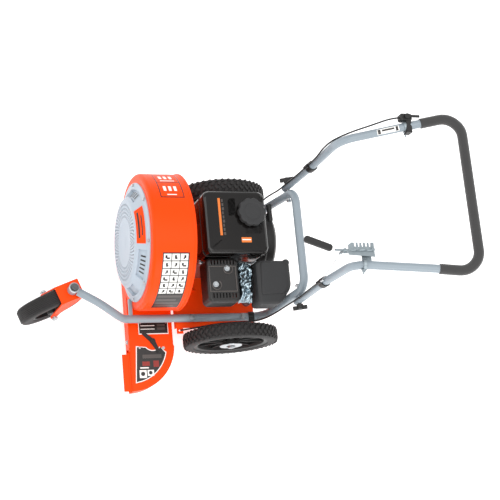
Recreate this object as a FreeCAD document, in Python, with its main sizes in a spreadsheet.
"""Walk-behind wheeled leaf blower, as a parametric FreeCAD document in millimetres.

Axes: +X is the machine's left, +Y its rear, +Z up. While the pieces are built the zero point lies
on the ground under the middle of the rear axle; the last step moves every piece by the same amount,
so that the finished part stands with its zero point under the middle of its bounding box.
"""
import FreeCAD, Part
import math
import os
import Sketcher
from FreeCAD import Placement, Rotation, Vector

doc = FreeCAD.newDocument("WheeledLeafBlower")
sheet = doc.addObject("Spreadsheet::Sheet", "Sizes")

SIZES = (
    # Rear wheels and axle
    ("wheel_radius", 152.4, "rear wheel, 12 inch across"),
    ("wheel_width", 46, "tyre width"),
    ("wheel_bead", 118, "radius where the tyre sits on the rim"),
    ("wheel_offset", 65, "from a rail's centre line to the wheel's middle plane"),
    ("axle_radius", 8, "rear axle"),
    ("hub_radius", 24, "wheel hub"),
    # Caster
    ("caster_radius", 101, "caster wheel, 8 inch across"),
    ("caster_width", 50, "caster tyre width"),
    ("caster_bead", 62, "radius where the caster tyre sits on its rim"),
    ("caster_trail", 56, "caster axle ahead of the swivel axis"),
    ("caster_yaw", 21.5, "swivel angle at rest, degrees"),
    ("swivel_x", 84, "swivel axis, left of the middle"),
    ("swivel_y", -516, "swivel axis, ahead of the rear axle"),
    ("fork_clearance", 3.5, "fork plate above the caster tyre"),
    ("fork_gap", 4, "fork cheek beside the caster tyre"),
    ("fork_sheet", 4, "fork plate thickness"),
    ("swivel_radius", 8, "swivel bolt"),
    ("sleeve_radius", 15, "swivel sleeve outside"),
    ("sleeve_height", 32, "swivel sleeve"),
    ("caster_axle_radius", 5, "caster axle bolt"),
    # Frame
    ("rail_radius", 12.7, "frame tube, 1 inch"),
    ("tube_wall", 2, "wall of every frame and handle tube"),
    ("rail_spacing", 340, "between the rails' centre lines"),
    ("rail_rise", 23.6, "rail centre line above the axle"),
    ("rail_end", 45, "rear end of the straight rails, behind the axle"),
    ("left_rail_front", -330, "front end of the left rail"),
    ("right_rail_front", -176, "front end of the right rail"),
    ("hoop_rise", 331.7, "cross tube above the base plate"),
    ("hoop_y", 131, "cross tube behind the axle"),
    ("hoop_inset", 17, "from a rail's centre line in to the hoop's corner"),
    ("plate_thickness", 3, "engine base plate"),
    ("plate_overhang", 29, "base plate past a rail's centre line"),
    ("plate_front", -182, "front edge of the base plate"),
    ("plate_back", 83, "rear edge of the base plate"),
    # Blower
    ("shaft_x", -51.4, "engine shaft, right of the middle"),
    ("shaft_rise", 106, "engine shaft above the engine's feet"),
    ("drum_radius", 212, "blower housing"),
    ("drum_front", -324, "front of the blower housing"),
    ("drum_back", -192, "rear of the blower housing"),
    ("drum_round", 12, "rounding of the front shoulder"),
    ("sheet_wall", 2.5, "housing sheet"),
    ("inlet_radius", 128, "air inlet of the housing"),
    ("impeller_gap", 26, "from the impeller's rim to the housing"),
    ("cover_inset", 33, "inlet cover's flange inside the housing's edge"),
    ("cover_slope", 38, "inlet cover's front disc inside its flange"),
    ("cover_depth", 34, "inlet cover from flange to front disc"),
    # Discharge chute
    ("chute_drop", 48.3, "top of the discharge chute below the base plate"),
    ("chute_height", 47, "outside height of the chute"),
    ("chute_depth", 144, "chute from front to rear"),
    ("chute_start", 150, "where the chute joins the housing"),
    ("elbow_start", 240, "where the quarter turn starts"),
    ("elbow_radius", 147, "outer radius of the quarter turn"),
    ("flap_length", 22, "deflector flap"),
    ("flap_width", 119, "deflector flap"),
    # Engine
    ("crank_radius", 12.5, "crankshaft"),
    ("engine_front", -163, "front face of the engine's nose"),
    ("tank_rise", 296.7, "top of the fuel tank above the base plate"),
    ("tank_height", 98, "fuel tank"),
    ("cap_radius", 44, "fuel cap"),
    ("cap_height", 22, "fuel cap"),
    ("neck_radius", 26, "filler neck outside"),
    ("guard_rise", 261.7, "top of the muffler guard above the base plate"),
    ("cleaner_rise", 256.7, "top of the air cleaner cover above the base plate"),
    ("shroud_radius", 104, "fan shroud"),
    ("recoil_radius", 96, "recoil starter cover"),
    # Handle
    ("pivot_y", 128, "fold axis behind the rear axle"),
    ("pivot_rise", 285.7, "fold axis above the base plate"),
    ("leg_radius", 11, "lower handle leg"),
    ("leg_offset", 29, "from the hoop's corner out to the leg"),
    ("leg_length", 203, "lower leg above the fold axis"),
    ("leg_lean", 6, "lower leg's top inside its foot"),
    ("grip_radius", 11.8, "upper handle tube"),
    ("bend_rise", 211, "bend of the upper handle above the lower legs"),
    ("foam_radius", 15, "foam grip outside"),
    ("bar_y", 459, "cross bar behind the rear axle"),
    ("bar_rise", 99, "cross bar above the bend"),
    ("bar_spacing", 458, "between the corners of the cross bar"),
    ("pin_radius", 4, "fold bolt"),
    # Fits
    ("running_gap", 0.06, "radial clearance of a running fit"),
    ("joint_gap", 0.5, "gap between pieces that pass each other"),
    ("cable_radius", 2.5, "control cable sheath"),
)


class Size:
    """A number together with the spreadsheet formula that gives it."""

    def __init__(self, value, formula):
        self.value = float(value)
        self.formula = formula

    def __float__(self):
        return self.value

    def __neg__(self):
        return Size(-self.value, "(0 - %s)" % self.formula)

    def __add__(self, other):
        return combine(self, "+", other, self.value + float(other))

    def __radd__(self, other):
        return combine(other, "+", self, float(other) + self.value)

    def __sub__(self, other):
        return combine(self, "-", other, self.value - float(other))

    def __rsub__(self, other):
        return combine(other, "-", self, float(other) - self.value)

    def __mul__(self, other):
        return combine(self, "*", other, self.value * float(other))

    def __rmul__(self, other):
        return combine(other, "*", self, float(other) * self.value)

    def __truediv__(self, other):
        return combine(self, "/", other, self.value / float(other))


def formula_of(amount):
    return amount.formula if isinstance(amount, Size) else repr(float(amount))


def combine(first, sign, second, value):
    return Size(value, "(%s %s %s)" % (formula_of(first), sign, formula_of(second)))


class SizeTable:
    """The sizes by name, each tied to its cell."""


def fill_sheet():
    table = SizeTable()
    for row, (name, value, meaning) in enumerate(SIZES, start=1):
        sheet.set("A%d" % row, name)
        sheet.set("B%d" % row, repr(value))
        sheet.set("C%d" % row, meaning)
        sheet.setAlias("B%d" % row, name)
    doc.recompute()
    for name, _, _ in SIZES:
        setattr(table, name, Size(sheet.get(name), "Sizes." + name))
    return table


s = fill_sheet()
RIGHT, LEFT = -1, 1
SIDES = ((LEFT, "left"), (RIGHT, "right"))
ALONG_X = Rotation(Vector(0, 1, 0), 90)
BACK_X = Rotation(Vector(0, 1, 0), -90)
ALONG_Y = Rotation(Vector(1, 0, 0), -90)
ALONG_Z = Rotation()
pieces = []


# ---------------------------------------------------------------- drawing helpers
def point(x, y, z):
    return Vector(float(x), float(y), float(z))


def bind(feature, **amounts):
    """Ties each property to the sheet, or sets it when it is a plain number."""
    for name, amount in amounts.items():
        if isinstance(amount, Size):
            feature.setExpression(name, amount.formula)
        setattr(feature, name, float(amount))


def keep(feature, label):
    """Marks a finished sub-part: its label is its node name."""
    feature.Label = label
    pieces.append(feature)
    return feature


def cylinder(name, radius, length, base, turn=ALONG_Z):
    piece = doc.addObject("Part::Cylinder", name)
    bind(piece, Radius=radius, Height=length)
    piece.Placement = Placement(base, turn)
    return piece


def block(name, low, high, turn=ALONG_Z, about=Vector(0, 0, 0)):
    """A box from its low corner to its high corner, both three sizes, turned about a point."""
    piece = doc.addObject("Part::Box", name)
    bind(piece, Length=high[0] - low[0], Width=high[1] - low[1], Height=high[2] - low[2])
    corner = point(*low)
    piece.Placement = Placement(about + turn.multVec(corner - about), turn)
    return piece


def fuse(name, parts):
    piece = doc.addObject("Part::MultiFuse", name)
    piece.Shapes = parts
    piece.Refine = True
    return piece


def cut(name, base, *tools):
    piece = doc.addObject("Part::Cut", name)
    piece.Base = base
    piece.Tool = tools[0] if len(tools) == 1 else fuse(name + "_tools", list(tools))
    return piece


def common(name, first, second):
    piece = doc.addObject("Part::Common", name)
    piece.Base = first
    piece.Tool = second
    return piece


def draw_outline(sketch, corners):
    """A closed outline, with each corner held by its distances from the sketch's origin."""
    start = sketch.GeometryCount
    count = len(corners)
    spots = [point(x, y, 0) for x, y in corners]
    for here in range(count):
        sketch.addGeometry(Part.LineSegment(spots[here], spots[(here + 1) % count]), False)
    for here in range(count):
        after = start + (here + 1) % count
        sketch.addConstraint(Sketcher.Constraint("Coincident", start + here, 2, after, 1))
    for here, corner in enumerate(corners):
        for kind, amount in zip(("DistanceX", "DistanceY"), corner):
            rule = Sketcher.Constraint(kind, -1, 1, start + here, 1, float(amount))
            index = sketch.addConstraint(rule)
            if isinstance(amount, Size):
                sketch.setExpression("Constraints[%d]" % index, amount.formula)


def draw_circle(sketch, x, y, radius):
    index = sketch.addGeometry(Part.Circle(point(x, y, 0), Vector(0, 0, 1), float(radius)), False)
    for kind, amount in (("DistanceX", x), ("DistanceY", y)):
        rule = sketch.addConstraint(Sketcher.Constraint(kind, -1, 1, index, 3, float(amount)))
        if isinstance(amount, Size):
            sketch.setExpression("Constraints[%d]" % rule, amount.formula)
    rule = sketch.addConstraint(Sketcher.Constraint("Radius", index, float(radius)))
    if isinstance(radius, Size):
        sketch.setExpression("Constraints[%d]" % rule, radius.formula)


def new_sketch(body, name, role):
    sketch = body.newObject("Sketcher::SketchObject", name)
    plane = [item for item in body.Origin.OriginFeatures if item.Role == role][0]
    sketch.AttachmentSupport = (plane, [""])
    sketch.MapMode = "FlatFace"
    return sketch


def turned(name, profile, base=Vector(0, 0, 0), turn=ALONG_Z):
    """A body of revolution; the profile's corners are (radius, height along the axis)."""
    body = doc.addObject("PartDesign::Body", name)
    sketch = new_sketch(body, name + "_profile", "XZ_Plane")
    draw_outline(sketch, profile)
    solid = body.newObject("PartDesign::Revolution", name + "_revolve")
    solid.Profile = sketch
    solid.ReferenceAxis = (sketch, ["V_Axis"])
    solid.Angle = 360
    body.Placement = Placement(base, turn)
    return body


def padded(name, outline, thickness, base=Vector(0, 0, 0), turn=ALONG_Z, circles=()):
    """A flat piece: an outline with round holes, thickened along its own +Z."""
    body = doc.addObject("PartDesign::Body", name)
    sketch = new_sketch(body, name + "_outline", "XY_Plane")
    draw_outline(sketch, outline)
    for x, y, radius in circles:
        draw_circle(sketch, x, y, radius)
    solid = body.newObject("PartDesign::Pad", name + "_pad")
    solid.Profile = sketch
    bind(solid, Length=thickness)
    body.Placement = Placement(base, turn)
    return body


def rounded(name, body, radius, wanted):
    """Fillets those edges of a body's tip that the test picks."""
    doc.recompute()
    tip = body.Tip
    names = []
    for index, edge in enumerate(tip.Shape.Edges, start=1):
        if wanted(edge):
            names.append("Edge%d" % index)
    fillet = body.newObject("PartDesign::Fillet", name)
    fillet.Base = (tip, names)
    bind(fillet, Radius=radius)
    return body


def is_upright(edge):
    ends = [vertex.Point for vertex in edge.Vertexes]
    return len(ends) == 2 and abs(ends[0].x - ends[1].x) + abs(ends[0].y - ends[1].y) < 0.01


def at_height(height):
    def test(edge):
        return all(abs(vertex.Z - float(height)) < 0.01 for vertex in edge.Vertexes)
    return test


def soft_block(name, low, high, corner, edge):
    """A moulded box: upright edges rounded by one radius, top edges by another."""
    size = [high[axis] - low[axis] for axis in range(3)]
    outline = [(0, 0), (size[0], 0), (size[0], size[1]), (0, size[1])]
    body = padded(name, outline, size[2], point(*low))
    rounded(name + "_corners", body, corner, is_upright)
    rounded(name + "_edges", body, edge, at_height(size[2]))
    return body


def soft_plate(name, outline, low, high, corner, edge):
    """A moulded piece of any straight-sided outline between two heights."""
    body = padded(name, outline, high - low, point(0, 0, low))
    rounded(name + "_corners", body, corner, is_upright)
    rounded(name + "_edges", body, edge, at_height(high - low))
    return body


def cylinder_between(name, radius, start, end):
    way = end - start
    return cylinder(name, radius, way.Length, start, Rotation(Vector(0, 0, 1), way))


def wire_through(corners, radii):
    """Straight runs joined by tangent arcs, one radius for each inner corner."""
    edges = []
    last = corners[0]
    for here in range(1, len(corners) - 1):
        into = (corners[here] - corners[here - 1]).normalize()
        away = (corners[here + 1] - corners[here]).normalize()
        turn = into.getAngle(away)
        reach = radii[here - 1] * math.tan(turn / 2)
        start = corners[here] - into * reach
        end = corners[here] + away * reach
        inside = (away - into).normalize()
        middle = corners[here] + inside * (radii[here - 1] / math.cos(turn / 2) - radii[here - 1])
        if (start - last).Length > 0.01:
            edges.append(Part.LineSegment(last, start).toShape())
        edges.append(Part.Arc(start, middle, end).toShape())
        last = end
    edges.append(Part.LineSegment(last, corners[-1]).toShape())
    return Part.Wire(edges)


def swept(name, radius, corners, radii):
    """A solid rod of a bound radius along a bent path."""
    path = doc.addObject("Part::Feature", name + "_path")
    path.Shape = wire_through(corners, radii)
    ring = doc.addObject("Part::Circle", name + "_section")
    bind(ring, Radius=radius)
    heading = Rotation(Vector(0, 0, 1), corners[1] - corners[0])
    ring.Placement = Placement(corners[0], heading)
    rod = doc.addObject("Part::Sweep", name)
    rod.Sections = [ring]
    rod.Spine = (path, ["Edge%d" % (index + 1) for index in range(len(path.Shape.Edges))])
    rod.Solid = True
    rod.Frenet = False
    return rod


def tube(name, radius, wall, corners, radii):
    outer = swept(name + "_outside", radius, corners, radii)
    inner = swept(name + "_inside", radius - wall, corners, radii)
    return cut(name, outer, inner)


def cable_radii(corners):
    """The largest even arcs that the runs of a cable leave room for."""
    radii = []
    for here in range(1, len(corners) - 1):
        into = corners[here] - corners[here - 1]
        away = corners[here + 1] - corners[here]
        turn = into.getAngle(away)
        radii.append(0.45 * min(into.Length, away.Length) / math.tan(turn / 2))
    return radii


def mirrored(corners, side):
    return [Vector(corner.x * side, corner.y, corner.z) for corner in corners]


# ---------------------------------------------------------------- derived positions
s.rail_height = s.wheel_radius + s.rail_rise
plate_top = s.rail_height - s.rail_radius
half_track = s.rail_spacing / 2 + s.wheel_offset
s.plate_width = s.rail_spacing + 2 * s.plate_overhang
s.hoop_width = s.rail_spacing - 2 * s.hoop_inset
s.hoop_height = plate_top + s.hoop_rise
s.impeller_radius = s.drum_radius - s.impeller_gap
s.cover_flange = s.drum_radius - s.cover_inset
s.cover_nose = s.cover_flange - s.cover_slope
s.chute_top = plate_top - s.chute_drop
s.tank_top = plate_top + s.tank_rise
s.guard_top = plate_top + s.guard_rise
s.cleaner_top = plate_top + s.cleaner_rise
s.leg_spacing = s.hoop_width + 2 * s.leg_offset
s.leg_top_spacing = s.leg_spacing - 2 * s.leg_lean
s.pivot_z = plate_top + s.pivot_rise
s.leg_top = s.pivot_z + s.leg_length
s.bend_height = s.leg_top + s.bend_rise
s.bar_z = s.bend_height + s.bar_rise
plate_low = plate_top - s.plate_thickness
shaft_z = plate_top + s.shaft_rise
rail_x = s.rail_spacing / 2
fork_top = 2 * s.caster_radius + s.fork_clearance + s.fork_sheet
sleeve_top = fork_top + s.joint_gap + s.sleeve_height
swivel = point(s.swivel_x, s.swivel_y, 0)
FILLER_WAY = Vector(0.75, 0, 0.66).normalize()
filler_foot = point(70, 34, plate_top + 33.7)
yaw = Rotation(Vector(0, 0, 1), float(s.caster_yaw))
wheel_centre = swivel + yaw.multVec(point(0, -s.caster_trail, s.caster_radius))
leg_x = s.leg_spacing / 2
bend_corner = point(s.leg_top_spacing / 2 + 3, 124, s.bend_height)
bar_corner = point(s.bar_spacing / 2, s.bar_y, s.bar_z)
foam_start = bar_corner - Vector(17.5, 113.2, 29.7)
above_foam = foam_start + (foam_start - bar_corner).normalize() * 20


def on_deck(x, y, height):
    """A corner given by its height above the base plate."""
    return (x, y, plate_top + height)


def deck_point(x, y, height):
    return point(*on_deck(x, y, height))


# ---------------------------------------------------------------- wheels
def tyre(name, radius, bead, width, base, turn):
    half = width / 2
    profile = [(bead, -half + 4), (bead + 6, -half), (radius - 9, -half), (radius - 2, -half + 6)]
    profile += [(radius, -half + 13), (radius, half - 13)]
    profile += [(radius - 2, half - 6), (radius - 9, half), (bead + 6, half), (bead, half - 4)]
    return keep(turned(name, profile, base, turn), name)


def rear_rim(name, base, turn):
    """Plastic rim: ring, thin spoked web and hub with a running bore."""
    half = s.wheel_width / 2
    bore = s.axle_radius + s.running_gap
    ring_in = s.wheel_bead - 11
    web = 4
    profile = [(bore, -half - 2), (s.hub_radius, -half - 2), (s.hub_radius, -web)]
    profile += [(ring_in, -web), (ring_in, -half + 4), (s.wheel_bead, -half + 4)]
    profile += [(s.wheel_bead, half - 4), (ring_in, half - 4), (ring_in, web)]
    profile += [(s.hub_radius, web), (s.hub_radius, half + 2), (bore, half + 2)]
    disc = turned(name + "_disc", profile)
    windows = []
    count = 10
    for index in range(count):
        middle = (s.hub_radius + ring_in) / 2
        start = Vector(float(middle) + 4, 0, -2 * web)
        slot = cylinder(name + "_window_%d" % index, 17, 4 * web, start)
        around = Placement(Vector(0, 0, 0), Rotation(Vector(0, 0, 1), 360 * index / count))
        slot.Placement = around.multiply(slot.Placement)
        windows.append(slot)
    rim = cut(name, disc, *windows)
    rim.Placement = Placement(base, turn)
    return keep(rim, name)


def rear_wheels():
    for side, word in SIDES:
        centre = point(side * half_track, 0, s.wheel_radius)
        tyre("tyre_" + word, s.wheel_radius, s.wheel_bead, s.wheel_width, centre, ALONG_X)
        rear_rim("rim_" + word, centre, ALONG_X)
    hub_end = half_track + s.wheel_width / 2 + 2 + s.joint_gap
    length = 2 * (hub_end + 7)
    parts = [cylinder("axle_rod", s.axle_radius, length, point(-length / 2, 0, s.wheel_radius), ALONG_X)]
    for side, word in SIDES:
        away = ALONG_X if side == LEFT else BACK_X
        start = point(side * hub_end, 0, s.wheel_radius)
        parts.append(cylinder("axle_nut_" + word, 13, 9, start, away))
    keep(fuse("rear_axle", parts), "rear_axle")


# ---------------------------------------------------------------- caster
def caster_fork():
    """Folded plate: a top with two cheeks that lean out to the axle's ends."""
    half = s.caster_width / 2 + s.fork_gap
    top = block("fork_top", (-half, -46, fork_top - s.fork_sheet), (half, 31, fork_top))
    cheeks = []
    drop = s.fork_clearance + s.fork_sheet + s.caster_radius
    reach = s.caster_trail
    outline = [(-31, 0), (46, 0), (reach + 13, -drop + 6), (reach + 9, -drop - 12)]
    outline += [(reach - 9, -drop - 12), (reach - 18, -drop + 16), (-20, -34)]
    for side, word in SIDES:
        upright = Rotation(Vector(0, 0, 1), -90).multiply(Rotation(Vector(1, 0, 0), 90))
        lean = Rotation(Vector(0, 1, 0), -6 * side)
        inner = half - s.fork_sheet if side == RIGHT else half
        base = point(side * inner, 0, fork_top)
        plate = padded("fork_cheek_" + word, outline, s.fork_sheet, base, lean.multiply(upright))
        cheeks.append(plate)
    solid = fuse("fork_solid", [top] + cheeks)
    bore = cylinder("fork_bore", s.swivel_radius, 20, point(0, 0, fork_top - 10))
    reach = 2 * half + 60
    start = point(-reach / 2, -s.caster_trail, s.caster_radius)
    axle = cylinder("fork_axle_bore", s.caster_axle_radius, reach, start, ALONG_X)
    fork = cut("caster_fork", solid, bore, axle)
    fork.Placement = Placement(swivel, yaw)
    return keep(fork, "caster_fork")


def caster():
    caster_fork()
    spin = yaw.multiply(ALONG_X)
    tyre("caster_tyre", s.caster_radius, s.caster_bead, s.caster_width, wheel_centre, spin)
    half = s.caster_width / 2
    bore = s.caster_axle_radius + s.running_gap
    ring_in = s.caster_bead - 7
    profile = [(bore, -half - 1), (14, -half - 1), (17, -5), (ring_in, -5), (ring_in, -half + 4)]
    profile += [(s.caster_bead, -half + 4), (s.caster_bead, half - 4), (ring_in, half - 4)]
    profile += [(ring_in, 5), (17, 5), (14, half + 1), (bore, half + 1)]
    keep(turned("caster_rim", profile, wheel_centre, spin), "caster_rim")
    reach = half + s.fork_gap + 12 + s.fork_sheet
    start = wheel_centre + spin.multVec(point(0, 0, -reach))
    shank = cylinder("caster_axle_shank", s.caster_axle_radius, 2 * reach, start, spin)
    heads = []
    for side, word in SIDES:
        spot = wheel_centre + spin.multVec(point(0, 0, side * (reach + 3) - 3))
        heads.append(cylinder("caster_axle_head_" + word, 9, 6, spot, spin))
    keep(fuse("caster_axle", [shank] + heads), "caster_axle")
    low = fork_top - s.fork_sheet
    bolt = cylinder("swivel_shank", s.swivel_radius, sleeve_top - low + 12, swivel + point(0, 0, low))
    washer = cylinder("swivel_washer", 16.5, 2.5, swivel + point(0, 0, sleeve_top + s.joint_gap))
    nut = cylinder("swivel_nut", 11, 8, swivel + point(0, 0, sleeve_top + s.joint_gap + 2.5))
    keep(fuse("swivel_bolt", [bolt, washer, nut]), "swivel_bolt")


# ---------------------------------------------------------------- frame
def frame():
    side_x = float(rail_x)
    height = float(s.rail_height)
    arm_z = float(fork_top + s.joint_gap + s.sleeve_height / 2)
    start = swivel + Vector(8, 14, arm_z)
    corners = [start, Vector(112, -470, arm_z + 2), Vector(149, -394, height + 26)]
    corners.append(Vector(side_x, -347, height))
    corners.append(Vector(side_x, float(s.left_rail_front), height))
    arm = tube("caster_arm_tube", s.rail_radius, s.tube_wall, corners, [120, 150, 30])
    foot = swivel + point(0, 0, fork_top + s.joint_gap)
    sleeve = cylinder("sleeve_outside", s.sleeve_radius, s.sleeve_height, foot)
    hollow = s.swivel_radius + s.running_gap
    inside = cylinder("sleeve_inside", hollow, s.sleeve_height + 20, foot - Vector(0, 0, 10))
    # Flat bracket from the arm's rear end across to the front of the housing.
    low = (s.shaft_x + s.drum_radius - 54, s.drum_front - 10, s.rail_height - 8)
    high = (rail_x, s.drum_front, s.rail_height + 8)
    flat = block("front_bracket", low, high)
    rail_end = point(rail_x, s.left_rail_front, s.rail_height)
    around = cylinder("front_bracket_rail", s.rail_radius, 30, rail_end, ALONG_Y)
    bracket = cut("front_bracket_cut", flat, around)
    keep(cut("caster_arm", fuse("caster_arm_solid", [arm, sleeve, bracket]), inside), "caster_arm")
    for side, word, front in ((LEFT, "left", s.left_rail_front), (RIGHT, "right", s.right_rail_front)):
        ends = [Vector(side * side_x, float(front), height), Vector(side * side_x, float(s.rail_end), height)]
        outer = cylinder_between("rail_%s_outside" % word, s.rail_radius, *ends)
        inner = cylinder_between("rail_%s_inside" % word, s.rail_radius - s.tube_wall, *ends)
        keep(cut("rail_" + word, outer, inner), "rail_" + word)
    half = s.hoop_width / 2
    corners = [Vector(side_x, float(s.rail_end), height), Vector(side_x, 110, height)]
    corners.append(point(half, s.hoop_y, s.hoop_height))
    corners += mirrored(reversed(corners), RIGHT)
    hoop = tube("handle_hoop_tube", s.rail_radius, s.tube_wall, corners, [60, 42, 42, 60])
    bores = []
    for side, word in SIDES:
        start = point(side * half - 40, s.pivot_y, s.pivot_z)
        bores.append(cylinder("hoop_bore_" + word, s.pin_radius, 80, start, ALONG_X))
    keep(cut("handle_hoop", hoop, *bores), "handle_hoop")
    bolts = []
    for side, word in SIDES:
        inner = point(side * (leg_x - 46), s.pivot_y, s.pivot_z)
        turn = ALONG_X if side == LEFT else BACK_X
        shank = cylinder("fold_bolt_shank_" + word, s.pin_radius, 68, inner, turn)
        head = cylinder("fold_bolt_head_" + word, 8, 6, inner - point(side * 6, 0, 0), turn)
        bolts += [shank, head]
    return fuse("fold_bolts", bolts)


def base_plate():
    half = s.plate_width / 2
    plate = block("plate_flat", (-half, s.plate_front, plate_low), (half, s.plate_back, plate_top))
    lips = []
    for word, edge in (("front", s.plate_front), ("back", s.plate_back - s.plate_thickness)):
        low = (-half, edge, plate_low - 14)
        lips.append(block("plate_lip_" + word, low, (half, edge + s.plate_thickness, plate_low)))
    high = (half + 18, s.plate_front + 24, plate_top)
    tab = block("plate_tab", (half, s.plate_front + 3, plate_low), high)
    hole = cylinder("plate_eye", 3.2, 20, point(half + 8, s.plate_front + 12, plate_low - 5))
    saddles = []
    for side, word in SIDES:
        middle = side * (half - 24)
        low = (middle - 5, -22, s.wheel_radius - 18)
        saddles.append(block("axle_saddle_" + word, low, (middle + 5, 22, plate_low)))
    length = s.plate_width + 20
    axle = cylinder("saddle_bore", s.axle_radius, length, point(-length / 2, 0, s.wheel_radius), ALONG_X)
    gusset = padded(
        "housing_gusset",
        [(0, 0), (82, 0), (0, 96)],
        3,
        point(s.shaft_x + 128, s.drum_back + 3, plate_top),
        Rotation(Vector(0, 0, 1), 90).multiply(Rotation(Vector(1, 0, 0), 90)),
    )
    solid = fuse("plate_solid", [plate, tab, gusset] + lips + saddles)
    keep(cut("base_plate", solid, hole, axle), "base_plate")


def frame_bolts(fold_bolts):
    """The fold bolts, and the bolt heads on the rails, the engine's feet and the chute's front."""
    heads = []
    for side, word in SIDES:
        for index, y in enumerate((-132, 36)):
            seat = point(side * rail_x, y, s.rail_height + s.rail_radius)
            stud = cylinder("rail_bolt_%s_%d" % (word, index), 7, 8, seat - Vector(0, 0, 4))
            heads.append(stud)
        for index, y in enumerate((-120, 20)):
            seat = point(s.shaft_x + side * 98, y, plate_top)
            heads.append(cylinder("engine_bolt_%s_%d" % (word, index), 7, 7, seat))
    heads.append(cylinder("chute_bolt", 4.5, 4, point(226, s.drum_front - 4, 95), ALONG_Y))
    rails = []
    for side, word in SIDES:
        start = point(side * rail_x, -200, s.rail_height)
        rails.append(cylinder("bolt_seat_" + word, s.rail_radius, 300, start, ALONG_Y))
    group = doc.addObject("Part::Compound", "bolt_head_group")
    group.Links = heads
    every = doc.addObject("Part::Compound", "frame_bolts")
    every.Links = [fold_bolts, cut("bolt_heads", group, *rails)]
    keep(every, "frame_bolts")


# ---------------------------------------------------------------- blower
def blower_housing():
    """Drum with a rounded front shoulder, an air inlet and a flat outlet duct at the lower left."""
    depth = s.drum_back - s.drum_front
    base = point(s.shaft_x, s.drum_front, shaft_z)
    step = s.drum_round * 0.3
    rim = s.drum_radius
    outside = [(0, 0), (rim - s.drum_round, 0), (rim - step, step), (rim, s.drum_round)]
    outside += [(rim, depth), (0, depth)]
    wall = s.sheet_wall
    small = rim - wall
    inside = [(0, wall), (rim - s.drum_round, wall), (small - step, step + wall)]
    inside += [(small, s.drum_round + wall), (small, depth + 1), (0, depth + 1)]
    drum = turned("drum_outside", outside, base, ALONG_Y)
    room = turned("drum_inside", inside, base, ALONG_Y)
    back = s.drum_front + s.chute_depth
    low = s.chute_top - s.chute_height
    duct = block("duct_outside", (s.shaft_x, s.drum_front, low), (s.chute_start, back, s.chute_top))
    space = block(
        "duct_inside",
        (s.shaft_x + 20, s.drum_front + wall, low + wall),
        (s.chute_start + 5, back - wall, s.chute_top - wall),
    )
    inlet = cylinder("housing_inlet", s.inlet_radius, 20, base - Vector(0, 5, 0), ALONG_Y)
    keep(cut("blower_housing", drum, room, space, inlet), "blower_housing")
    # The duct stops at the drum's wall, and at the rim of the plate that closes the drum.
    closed = outside[:4] + [(rim, depth + 3), (0, depth + 3)]
    filled = turned("drum_filled", closed, base, ALONG_Y)
    keep(cut("outlet_duct", duct, space, filled), "outlet_duct")


def housing_back():
    """Flat plate that closes the drum, with the ring that holds it off the engine's face."""
    base = point(s.shaft_x, s.drum_back, shaft_z)
    disc = cylinder("back_disc", s.drum_radius, 3, base, ALONG_Y)
    hole = cylinder("back_hole", 24, 20, base - Vector(0, 5, 0), ALONG_Y)
    length = s.engine_front - s.drum_back
    ring = cylinder("spacer_outside", 62, length, base, ALONG_Y)
    bore = cylinder("spacer_inside", 50, length, base + Vector(0, 3, 0), ALONG_Y)
    keep(cut("housing_back", fuse("back_solid", [disc, ring]), hole, bore), "housing_back")


def inlet_cover():
    """Shallow plastic cup over the air inlet, with a ring of slots in its front."""
    depth = s.cover_depth
    wall = 3
    profile = [(0, 0), (s.cover_nose - 4, 0), (s.cover_nose, 3), (s.cover_flange - 10, depth - 5)]
    profile += [(s.cover_flange, depth - 4), (s.cover_flange, depth), (s.cover_flange - 13, depth)]
    profile += [(s.cover_nose - wall, 5), (s.cover_nose - 6, wall), (0, wall)]
    base = point(s.shaft_x, s.drum_front - depth, shaft_z)
    cup = turned("cover_cup", profile, base, ALONG_Y)
    slots = []
    count = 36
    for index in range(count):
        name = "cover_slot_%d" % index
        slot = block(name, (s.cover_nose - 30, -2, -5), (s.cover_nose - 12, 2, 12))
        around = Placement(base, ALONG_Y)
        spin = Placement(Vector(0, 0, 0), Rotation(Vector(0, 0, 1), 360 * index / count))
        slot.Placement = around.multiply(spin).multiply(slot.Placement)
        slots.append(slot)
    keep(cut("inlet_cover", cup, *slots), "inlet_cover")


def impeller():
    """Backed radial impeller with curved-back blades, fixed on the crankshaft's taper."""
    base = point(s.shaft_x, s.drum_back - 12, shaft_z)
    forward = Rotation(Vector(1, 0, 0), 90)
    plate = cylinder("impeller_plate", s.impeller_radius, 4, base, forward)
    hub = cylinder("impeller_hub", 30, 52, base, forward)
    blades = []
    count = 10
    for index in range(count):
        blade = block("impeller_blade_%d" % index, (24, -2, 2), (s.impeller_radius - 1, 2, 100))
        spin = Placement(Vector(0, 0, 0), Rotation(Vector(0, 0, 1), 360 * index / count))
        blade.Placement = Placement(base, forward).multiply(spin).multiply(blade.Placement)
        blades.append(blade)
    eye = cylinder("impeller_eye", 84, 70, base + Vector(0, -58, 0), forward)
    wheel = cut("impeller_open", fuse("impeller_solid", [plate] + blades), eye)
    bore = cylinder("impeller_bore", s.crank_radius, 200, base + Vector(0, 20, 0), forward)
    keep(cut("impeller", fuse("impeller_with_hub", [wheel, hub]), bore), "impeller")


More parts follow.
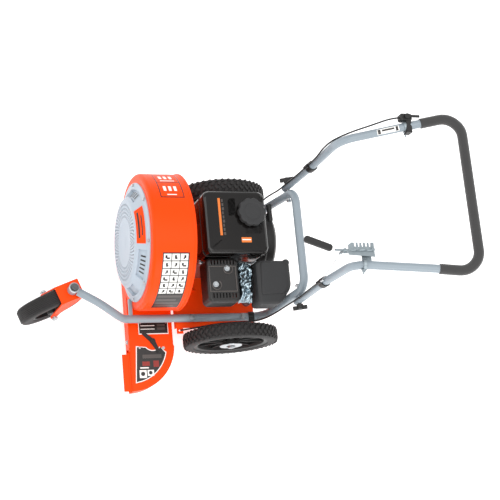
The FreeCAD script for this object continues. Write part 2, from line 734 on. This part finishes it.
# ---------------------------------------------------------------- discharge chute
def chute():
    back = s.drum_front + s.chute_depth
    low = s.chute_top - s.chute_height
    wall = s.sheet_wall
    centre = point(s.elbow_start, s.drum_front, low)
    duct = block("chute_box", (s.chute_start, s.drum_front, low), (s.elbow_start, back, s.chute_top))
    turn_room = block(
        "elbow_limit",
        (s.elbow_start, s.drum_front, low - 1),
        (s.elbow_start + s.elbow_radius + 5, s.drum_front + s.elbow_radius + 5, s.chute_top + 1),
    )
    disc = cylinder("elbow_disc", s.elbow_radius, s.chute_height, centre)
    quarter = common("elbow_outside", disc, turn_room)
    solid = fuse("chute_solid", [duct, quarter])
    space = block(
        "chute_space",
        (s.chute_start - 5, s.drum_front + wall, low + wall),
        (s.elbow_start + wall, back - wall, s.chute_top - wall),
    )
    start = centre + point(0, 0, wall)
    inner = cylinder("elbow_inner_disc", s.elbow_radius - wall, s.chute_height - 2 * wall, start)
    inner_limit = block(
        "elbow_inner_limit",
        (s.elbow_start, s.drum_front - 5, low),
        (s.elbow_start + s.elbow_radius + 5, back - wall, s.chute_top),
    )
    hollow = common("elbow_hollow", inner, inner_limit)
    pivot = point(230, -248.5, s.chute_top - 10)
    hole = cylinder("selector_hole", 5 + s.running_gap, 20, pivot)
    mouth = block(
        "chute_mouth",
        (s.elbow_start + 12, s.drum_front - 5, low + wall),
        (s.elbow_start + s.elbow_radius - wall - 2, s.drum_front + 12, s.chute_top - wall),
    )
    shell = cut("chute_shell", solid, space, hollow, hole, mouth)
    # Flap: level at rest, hinged on a pin along its rear edge.
    hinge = point(s.elbow_start + 25, s.drum_front - 4, s.chute_top + 0.2)
    pin_length = s.flap_width + 8
    lug = []
    for index, x in enumerate((0, pin_length - 4)):
        start = hinge + point(x, 0, 0)
        eye = cylinder("flap_lug_eye_%d" % index, 4, 4, start, ALONG_X)
        foot = block(
            "flap_lug_foot_%d" % index,
            (start.x, s.drum_front - 4, s.chute_top - 3.8),
            (start.x + 4, s.drum_front, s.chute_top + 2),
        )
        lug += [eye, foot]
    pin = cylinder("flap_pin_rod", 1.5, pin_length, hinge, ALONG_X)
    keep(fuse("discharge_chute", [shell, pin] + lug), "discharge_chute")
    left = hinge.x + 4 + 0.5
    leaf = block(
        "flap_leaf",
        (left, s.drum_front - 4 - s.flap_length, s.chute_top + 0.2 - 1),
        (left + s.flap_width - 1, s.drum_front - 5, s.chute_top + 0.2 + 1),
    )
    barrel = cylinder("flap_barrel", 3.5, s.flap_width - 1, Vector(left, hinge.y, hinge.z), ALONG_X)
    bore = cylinder("flap_bore", 1.5 + s.running_gap, s.flap_width + 20, hinge - Vector(5, 0, 0), ALONG_X)
    keep(cut("deflector_flap", fuse("flap_solid", [leaf, barrel]), bore), "deflector_flap")


def selector():
    """Lever on top of the chute with its shaft and the vane that it turns inside the duct."""
    pivot = point(230, -248.5, s.chute_top)
    outline = [(-31, -26), (-24, -34), (2, -7.5), (38, 15), (34, 24), (-4, 7)]
    lever = padded("selector_bar", outline, 3, pivot + Vector(0, 0, 1.5))
    shaft = cylinder("selector_shaft", 5, 20, pivot - Vector(0, 0, 12))
    cap = cylinder("selector_cap", 7, 4, pivot + Vector(0, 0, 4.5))
    low = s.chute_top - s.chute_height + s.sheet_wall + 1
    high = (pivot.x + 34, pivot.y + 1.5, s.chute_top - 4)
    vane = block("selector_vane", (pivot.x - 34, pivot.y - 1.5, low), high)
    keep(fuse("selector_lever", [lever, shaft, cap, vane]), "selector_lever")


# ---------------------------------------------------------------- engine
def engine_core():
    """Crankcase and inclined finned cylinder, one casting, with the rocker cover on its head."""
    centre = point(s.shaft_x, 0, shaft_z)
    low = (s.shaft_x - 88, -150, plate_top)
    high = (s.shaft_x + 88, 46, shaft_z + 72)
    case = soft_block("crankcase_block", low, high, 14, 10)
    start = point(s.shaft_x, s.engine_front, shaft_z)
    nose = cylinder("crankcase_nose", 62, -s.engine_front - 140, start, ALONG_Y)
    bore = s.crank_radius + s.running_gap
    hole = cylinder("crankcase_bore", bore, 260, point(s.shaft_x, -190, shaft_z), ALONG_Y)
    tilt = Rotation(Vector(0, 1, 0), -18)
    low = (s.shaft_x + 40, -88, shaft_z - 32)
    high = (s.shaft_x + 150, -14, shaft_z + 32)
    fins = [block("cylinder_core", low, high, tilt, centre)]
    for index in range(8):
        start = s.shaft_x + 92 + 8 * index
        name = "cylinder_fin_%d" % index
        fins.append(block(name, (start, -104, shaft_z - 50), (start + 3, 2, shaft_z + 38), tilt, centre))
    filler = cylinder("oil_filler", 9, 50, filler_foot, Rotation(Vector(0, 0, 1), FILLER_WAY))
    keep(cut("crankcase", fuse("crankcase_solid", [case, nose, filler] + fins), hole), "crankcase")
    cover = block(
        "rocker_cover_block",
        (s.shaft_x + 151, -96, shaft_z - 42),
        (s.shaft_x + 180, -6, shaft_z + 34),
        tilt,
        centre,
    )
    keep(cover, "rocker_cover")
    plug = cylinder_between("spark_plug_rod", 7, deck_point(88, -24, 190.7), deck_point(91, -23, 212.7))
    boot = cylinder_between("spark_plug_boot", 10, deck_point(90, -23.4, 202.7), deck_point(94, -21.6, 232.7))
    keep(fuse("spark_plug", [plug, boot]), "spark_plug")


def exhaust():
    """Muffler and the louvred guard that stands round it on two screws."""
    silencer = soft_block("muffler_box", on_deck(56, -136, 200.7), on_deck(164, -66, 244.7), 16, 12)
    outer = soft_block("guard_outside", on_deck(40, -152, 198.7), (178, -50, s.guard_top), 16, 10)
    inner = soft_block("guard_inside", on_deck(42, -150, 176.7), (176, -52, s.guard_top - 2), 15, 9)
    slots = []
    for word, x in (("right", 48), ("left", 150)):
        for index in range(8):
            y = -137 + 10 * index
            name = "guard_slot_%s_%d" % (word, index)
            slots.append(block(name, (x, y, s.guard_top - 8), (x + 14, y + 4, s.guard_top + 8)))
    keep(cut("muffler_guard", outer, inner, *slots), "muffler_guard")
    posts = []
    for index, (x, y) in enumerate(((70, -84), (112, -108))):
        posts.append(cylinder("guard_post_%d" % index, 5, 23, point(x, y, s.guard_top - 25)))
    posts.append(cylinder("exhaust_pipe", 12, 14, deck_point(70, -98, 188.7)))
    keep(fuse("muffler", [silencer] + posts), "muffler")


def intake():
    """Carburettor, air cleaner base and its cover."""
    body = block("carburettor_block", on_deck(78, 14, 136.7), on_deck(118, 50, 172.7))
    bowl = cylinder("carburettor_bowl", 17, 26, deck_point(98, 32, 110.7))
    post = cylinder("carburettor_post_hole", 3 + s.running_gap, 8, deck_point(86, 22, 166.7))
    choke_hole = cylinder("choke_shaft_hole", 3 + s.running_gap, 10, deck_point(110, 34, 154.7), ALONG_X)
    keep(cut("carburettor", fuse("carburettor_solid", [body, bowl]), post, choke_hole), "carburettor")
    arm = block("throttle_arm_bar", on_deck(66, 19, 173.3), on_deck(92, 25, 175.3))
    stem = cylinder("throttle_arm_stem", 3, 7, deck_point(86, 22, 167.7))
    keep(fuse("throttle_arm", [arm, stem]), "throttle_arm")
    shaft = cylinder("choke_shaft", 3, 12, deck_point(111, 34, 154.7), ALONG_X)
    handle = block("choke_bar", on_deck(120, 30, 150.7), on_deck(123, 62, 158.7))
    keep(fuse("choke_lever", [shaft, handle]), "choke_lever")
    low = plate_top + 178.7
    seam = low + 14
    keep(soft_plate("air_cleaner_base", cleaner_outline(3), low, seam, 10, 2), "air_cleaner_base")
    cover = soft_plate("air_cleaner_lid", cleaner_outline(0), seam + 0.2, s.cleaner_top, 14, 12)
    inside = soft_plate("air_cleaner_room", cleaner_outline(3), seam - 6, s.cleaner_top - 3, 11, 9)
    keep(cut("air_cleaner_cover", cover, inside), "air_cleaner_cover")


def cleaner_outline(inset):
    """The air cleaner seen from above, with its rear left corner cut off to pass the hoop."""
    low_x, high_x = 46 + inset, 184 - inset
    low_y, high_y = 9 + inset, 121 - inset
    return [(low_x, low_y), (high_x, low_y), (high_x, 82 - inset), (132 - inset, high_y), (low_x, high_y)]


def fuel_tank():
    """Hollow tank with a raised filler neck, and the cap that covers it."""
    base = s.tank_top - s.tank_height
    outer = soft_block("tank_outside", (-162, -158, base), (37, 44, s.tank_top), 26, 14)
    inner = soft_block("tank_inside", (-159, -155, base + 3), (34, 41, s.tank_top - 3), 23, 11)
    cap_at = point(-90, -8, s.tank_top)
    neck = cylinder("tank_neck", s.neck_radius, 12, cap_at - Vector(0, 0, 2))
    filler = cylinder("tank_filler", s.neck_radius - 3, 30, cap_at - Vector(0, 0, 10))
    solid = fuse("tank_solid", [outer, neck])
    keep(cut("fuel_tank", solid, inner, filler), "fuel_tank")
    gap = s.joint_gap
    room = s.neck_radius + gap
    low = 1.5
    profile = [(room, low), (s.cap_radius - 2, low), (s.cap_radius, low + 3)]
    profile += [(s.cap_radius, s.cap_height - 3), (s.cap_radius - 4, s.cap_height)]
    profile += [(0, s.cap_height), (0, 10 + gap), (room, 10 + gap)]
    keep(turned("fuel_cap", profile, cap_at), "fuel_cap")


def starter():
    """Flywheel, fan shroud, recoil cover, reel, rope and grip, all about the shaft's rear end."""
    behind = 48
    base = point(s.shaft_x, behind, shaft_z)
    wheel = [(s.crank_radius, 4), (86, 4), (86, 22), (60, 22), (60, 10), (24, 10), (24, 22)]
    wheel.append((s.crank_radius, 22))
    flywheel = turned("flywheel", wheel, base, ALONG_Y)
    forward = Rotation(Vector(1, 0, 0), 90)
    start = point(s.shaft_x, s.drum_back - 12 - 60, shaft_z)
    shaft = cylinder("crank_rod", s.crank_radius, 325, start, ALONG_Y)
    nut = cylinder("crank_nut", 22, 8, start, forward)
    keep(fuse("crankshaft", [shaft, nut, flywheel]), "crankshaft")
    rim = s.shroud_radius
    depth = 32
    shroud = [(rim - 2, 0), (rim, 0), (rim, depth - 8), (rim - 8, depth), (s.recoil_radius - 6, depth)]
    shroud += [(s.recoil_radius - 6, depth - 2), (rim - 9, depth - 2), (rim - 2, depth - 9)]
    ring = turned("shroud_ring", shroud, base, ALONG_Y)
    box = block("engine_switch_box", on_deck(-152, 54, 8.7), on_deck(-124, 88, 38.7))
    keep(fuse("fan_shroud", [ring, box]), "fan_shroud")
    knob = cylinder("engine_switch", 10, 12, deck_point(-139, 88.4, 23.7), ALONG_Y)
    keep(knob, "engine_switch")
    cup = s.recoil_radius
    start = depth
    deep = 30
    cover = [(cup - 2.5, start), (cup, start), (cup, start + deep - 8), (cup - 8, start + deep)]
    cover.append((0, start + deep))
    cover += [(0, start + deep - 2.5), (cup - 9, start + deep - 2.5), (cup - 2.5, start + deep - 9)]
    shell = turned("recoil_cover_shell", cover, base, ALONG_Y)
    tools = []
    for index in range(12):
        slot = block("recoil_slot_%d" % index, (50, -4, start + deep - 8), (78, 4, start + deep + 8))
        spin = Placement(Vector(0, 0, 0), Rotation(Vector(0, 0, 1), 30 * index + 10))
        slot.Placement = Placement(base, ALONG_Y).multiply(spin).multiply(slot.Placement)
        tools.append(slot)
    tools.append(cylinder_between("rope_hole", 6, rope_point(60), rope_point(120)))
    vented = cut("recoil_vented", shell, *tools)
    reel = [(6, start - 4), (50, start - 4), (50, start - 2), (44, start - 2), (44, start + 8)]
    reel += [(50, start + 8), (50, start + 10), (6, start + 10)]
    keep(turned("recoil_reel", reel, base, ALONG_Y), "recoil_reel")
    post = cylinder("recoil_post", 6 - s.running_gap, deep + 2, base + Vector(0, start - 3.5, 0), ALONG_Y)
    keep(fuse("recoil_cover", [vented, post]), "recoil_cover")
    keep(cylinder_between("starter_rope", 2, rope_point(-8), rope_point(118)), "starter_rope")
    grip_at = rope_point(127)
    bar = cylinder("grip_bar", 9, 56, grip_at - Vector(28, 0, 0), ALONG_X)
    stem = cylinder_between("grip_stem", 6.5, rope_point(112), rope_point(127))
    bore = cylinder_between("grip_bore", 2, rope_point(100), rope_point(118))
    keep(cut("starter_grip", fuse("grip_solid", [bar, stem]), bore), "starter_grip")


def rope_point(along):
    """A point on the starter rope, which leaves the reel on its right and runs nearly upright."""
    direction = Vector(-0.129, 0, 0.9916)
    offset = Vector(-0.9916, 0, -0.129) * 47
    return point(s.shaft_x, 48 + 32 + 3, shaft_z) + offset + direction * along


def dipstick():
    """Cap of the oil filler, with its short screw thread."""
    seat = filler_foot + FILLER_WAY * (50 + float(s.joint_gap))
    keep(cylinder("dipstick", 13, 12, seat, Rotation(Vector(0, 0, 1), FILLER_WAY)), "dipstick")


# ---------------------------------------------------------------- handle
def lower_leg(side, word):
    foot = point(side * leg_x, s.pivot_y, s.pivot_z - 22)
    top = point(side * s.leg_top_spacing / 2, 125, s.leg_top)
    outer = cylinder_between("leg_%s_outside" % word, s.leg_radius, foot, top)
    inner = cylinder_between("leg_%s_inside" % word, s.leg_radius - s.tube_wall, foot, top)
    start = point(side * leg_x - 20, s.pivot_y, s.pivot_z)
    bore = cylinder("leg_%s_bore" % word, s.pin_radius + s.running_gap, 40, start, ALONG_X)
    keep(cut("lower_leg_" + word, outer, inner, bore), "lower_leg_" + word)
    middle = top - Vector(0, 0, 12)
    way = (point(side * bend_corner.x, bend_corner.y, bend_corner.z) - top).normalize()
    ring = cylinder("clamp_%s_ring" % word, s.leg_radius + 4.5, 24, middle)
    guide = cylinder("clamp_%s_guide" % word, 6, 24, middle + Vector(side * 0, -16, 0))
    hole = cylinder_between("clamp_%s_hole" % word, s.leg_radius, foot, top + Vector(0, 0, 0.01))
    upper = cylinder_between("clamp_%s_upper" % word, s.grip_radius, top, top + way * 40)
    path = cylinder("clamp_%s_cable" % word, s.cable_radius, 60, middle + Vector(0, -16, -20))
    return cut("leg_clamp_" + word, fuse("clamp_%s_solid" % word, [ring, guide]), hole, upper, path)


def wing_knob(side, word):
    start = point(side * (leg_x + s.leg_radius + s.joint_gap), s.pivot_y, s.pivot_z)
    turn = ALONG_X if side == LEFT else BACK_X
    hub = cylinder("knob_%s_hub" % word, 10, 16, start, turn)
    wings = []
    lean = Rotation(Vector(1, 0, 0), 35)
    for index, y in enumerate((-22, 6)):
        x = sorted((float(start.x + side * 5), float(start.x + side * 17)))
        low = (x[0], s.pivot_y + y, s.pivot_z - 4)
        high = (x[1], s.pivot_y + y + 16, s.pivot_z + 4)
        wings.append(block("knob_%s_wing_%d" % (word, index), low, high, lean, start))
    start = start - Vector(side, 0, 0)
    bore = cylinder("knob_%s_bore" % word, s.pin_radius + s.running_gap, 12, start, turn)
    keep(cut("wing_knob_" + word, fuse("knob_%s_solid" % word, [hub] + wings), bore), "wing_knob_" + word)


def upper_handle():
    top = point(s.leg_top_spacing / 2, 125, s.leg_top)
    half = [top + (bend_corner - top).normalize(), bend_corner, above_foam, bar_corner]
    corners = half + mirrored(reversed(half), RIGHT)
    radii = [62, 300, 55, 55, 300, 62]
    tube_node = tube("upper_handle_tube", s.grip_radius, s.tube_wall, corners, radii)
    keep(tube_node, "upper_handle")
    grip = [foam_start, bar_corner]
    grip += mirrored(reversed(grip), RIGHT)
    outer = swept("foam_outside", s.foam_radius, grip, [55, 55])
    inner = swept("foam_inside", s.grip_radius, grip, [55, 55])
    keep(cut("foam_grip", outer, inner), "foam_grip")


def chute_control():
    """Notched quadrant on the left handle with the lever that pulls the flap's cable."""
    pivot = bend_corner + Vector(-36, -24, 5)
    outline = [(-8, -10), (10, -14), (84, -8), (84, 10), (74, 16), (62, 12), (50, 18), (38, 14), (26, 19)]
    outline += [(14, 12), (0, 14), (-8, 8)]
    upright = Rotation(Vector(0, 0, 1), 90).multiply(Rotation(Vector(1, 0, 0), 90))
    plate = padded("quadrant_sheet", outline, 3, pivot, upright, ((0, 0, 4 + s.running_gap),))
    tab = block("quadrant_tab", pivot + Vector(1, 50, -6), pivot + Vector(41, 78, -2))
    leg_end = point(s.leg_top_spacing / 2, 125, s.leg_top)
    clear = swept("quadrant_clear", s.grip_radius, [leg_end, bend_corner, above_foam, bar_corner], [62, 300])
    keep(cut("control_quadrant", fuse("quadrant_solid", [plate, tab]), clear), "control_quadrant")
    pin = cylinder("lever_pin", 4, 14, pivot - Vector(8, 0, 0), ALONG_X)
    outline = [(-8, -6), (0, -9), (8, -4), (8, 5), (-32, 8), (-32, 1)]
    arm = padded("lever_plate", outline, 4, pivot - Vector(4.5, 0, 0), upright)
    outline = [(-6, 0), (6, 0), (4, -34), (-4, -34)]
    tail = padded("lever_tail", outline, 4, pivot - Vector(4.5, 0, 0), upright)
    keep(fuse("control_lever", [arm, tail, pin]), "control_lever")
    grip = soft_block("lever_grip", (0, 0, 0), (20, 84, 9), 8, 3)
    grip.Placement = Placement(pivot + Vector(-44, -115, 0.5), Rotation(Vector(0, 0, 1), -20))
    keep(grip, "lever_grip")


def throttle_control():
    """Housing and thumb lever on the right handle."""
    seat = Vector(-foam_start.x, foam_start.y, foam_start.z)
    low = seat + Vector(-28.5, -59.8, -16.3)
    body = soft_block("throttle_box", low, seat + Vector(-7.5, -23.8, 5.7), 6, 4)
    strap = block("throttle_strap", seat + Vector(-7.5, -43.8, -20.3), seat + Vector(27.5, -27.8, 3.7))
    route = mirrored([bend_corner, above_foam, bar_corner], RIGHT)
    clear = swept("throttle_clear", s.grip_radius, route, [300])
    keep(cut("throttle_housing", fuse("throttle_solid", [body, strap]), clear), "throttle_housing")
    pivot = seat + Vector(-18.5, -40.8, 6.1)
    disc = cylinder("throttle_lever_disc", 8, 5, pivot)
    arm = block("throttle_lever_arm", pivot - Vector(4, 0, 0), pivot + Vector(3, 38, 4))
    keep(fuse("throttle_lever", [disc, arm]), "throttle_lever")


def cables():
    """Throttle and flap cables, each in one length above the fold and one below it."""
    gap = 14
    fold = [Vector(182, 113, 449), Vector(-182, 113, 449)]
    up = Vector(0, 0, gap)
    flap_upper = [Vector(176, 109, 672), Vector(176, 109, 626), Vector(177.5, 111, 576)]
    flap_upper += [Vector(181, 113, 520), fold[0] + up]
    flap_lower = [fold[0] - up, Vector(182, 112, 392), Vector(186, 106, 330), Vector(189, 98, 268)]
    flap_lower += [Vector(190, 84, 214), Vector(190, 50, 194), Vector(191, -2, 190), Vector(194, -58, 188)]
    flap_lower += [Vector(202, -112, 182), Vector(206, -150, 174), Vector(207, -168, 165)]
    throttle_upper = [Vector(-229, 285.5, 927), Vector(-228, 262, 924), Vector(-223, 214, 908)]
    throttle_upper += [Vector(-210, 158, 880), Vector(-198, 116, 834), Vector(-184, 107, 782)]
    throttle_upper += [Vector(-178, 109, 738), Vector(-176, 109, 688), Vector(-176, 109, 622)]
    throttle_upper += [Vector(-177.5, 111, 574), Vector(-181, 113, 520), fold[1] + up]
    throttle_lower = [fold[1] - up, Vector(-182, 111, 404), Vector(-180, 100, 372), Vector(-168, 78, 345)]
    throttle_lower += [Vector(-139.5, 64, 327)]
    routes = {
        "flap_cable_upper": flap_upper,
        "flap_cable_lower": flap_lower,
        "throttle_cable_upper": throttle_upper,
        "throttle_cable_lower": throttle_lower,
    }
    for name, corners in routes.items():
        radii = cable_radii(corners)
        keep(swept(name, s.cable_radius, corners, radii), name)
        print(name, "length", round(wire_through(corners, radii).Length), "smallest bend", round(min(radii)))


# ---------------------------------------------------------------- build
def stand_on_origin():
    """Moves every piece so that the zero point is under the middle of the bounding box."""
    box = FreeCAD.BoundBox()
    for piece in pieces:
        box.add(piece.Shape.optimalBoundingBox(False))
    shift = Vector(-box.Center.x, -box.Center.y, -box.ZMin)
    for piece in pieces:
        piece.Placement = Placement(shift, Rotation()).multiply(piece.Placement)
    doc.recompute()
    print("shift", [round(value, 3) for value in shift], "size", box.XLength, box.YLength, box.ZLength)


def check_document():
    for item in doc.Objects:
        if "Invalid" in item.State or "Error" in item.State:
            raise RuntimeError("%s failed: %s" % (item.Name, item.State))
    for piece in pieces:
        shape = piece.Shape
        if shape.isNull() or not shape.isValid() or not shape.Solids:
            raise RuntimeError("%s has no valid solid" % piece.Label)


def write_parts():
    os.makedirs("parts", exist_ok=True)
    for piece in pieces:
        piece.Shape.exportStep("parts/%s.step" % piece.Label)
    print(len(pieces), "nodes")


def build():
    rear_wheels()
    caster()
    fold_bolts = frame()
    base_plate()
    blower_housing()
    housing_back()
    inlet_cover()
    impeller()
    chute()
    selector()
    engine_core()
    exhaust()
    intake()
    fuel_tank()
    starter()
    dipstick()
    frame_bolts(fold_bolts)
    clamps = []
    for side, word in SIDES:
        clamps.append(lower_leg(side, word))
        wing_knob(side, word)
    group = doc.addObject("Part::Compound", "leg_clamps")
    group.Links = clamps
    keep(group, "leg_clamps")
    upper_handle()
    chute_control()
    throttle_control()
    cables()
    doc.recompute()
    check_document()
    stand_on_origin()
    check_document()
    write_parts()


build()
